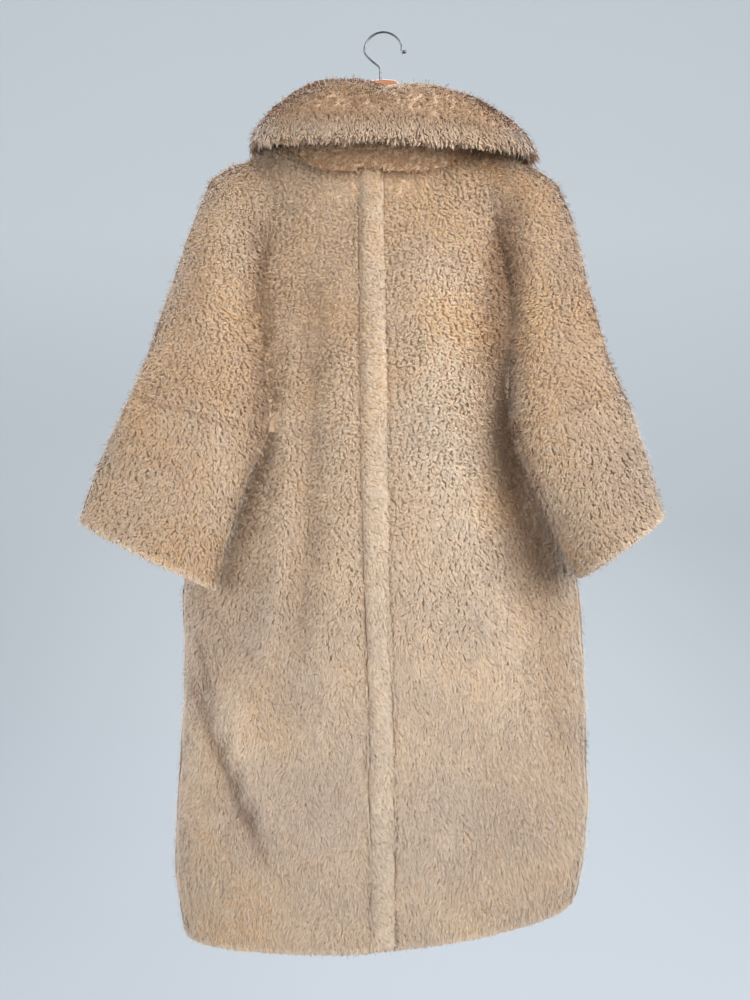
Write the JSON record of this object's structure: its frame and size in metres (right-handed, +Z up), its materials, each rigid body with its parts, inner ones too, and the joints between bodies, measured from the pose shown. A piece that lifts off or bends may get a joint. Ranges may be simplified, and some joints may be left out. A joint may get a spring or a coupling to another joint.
{
  "type": "faux fur coat on a hanger",
  "caption": "Long camel faux fur coat with a wide turn-down collar and short wide sleeves, hanging on a wooden hanger.",
  "frame": {"origin": "inside top of the hook's loop, where the hanger rests on a peg", "axes": "+X towards the wearer's right, -Y out of the coat's back, +Z up"},
  "size_m": [0.724, 0.2573, 1.1761],
  "materials": {
    "fur": "matte",
    "hanger_wood": "satin",
    "hook_steel": "polished"
  },
  "bodies": {
    "root": {"back_left": "fur", "back_right": "fur", "back_strip_upper": "fur", "back_strip_middle": "fur", "back_strip_lower": "fur", "front_left": "fur", "front_right": "fur", "lower_sleeve_left": "fur", "lower_sleeve_right": "fur", "collar_top": "fur", "collar_under": "fur", "hanger_wood": "hanger_wood", "hanger_hook": "hook_steel"}
  },
  "joints": []
}
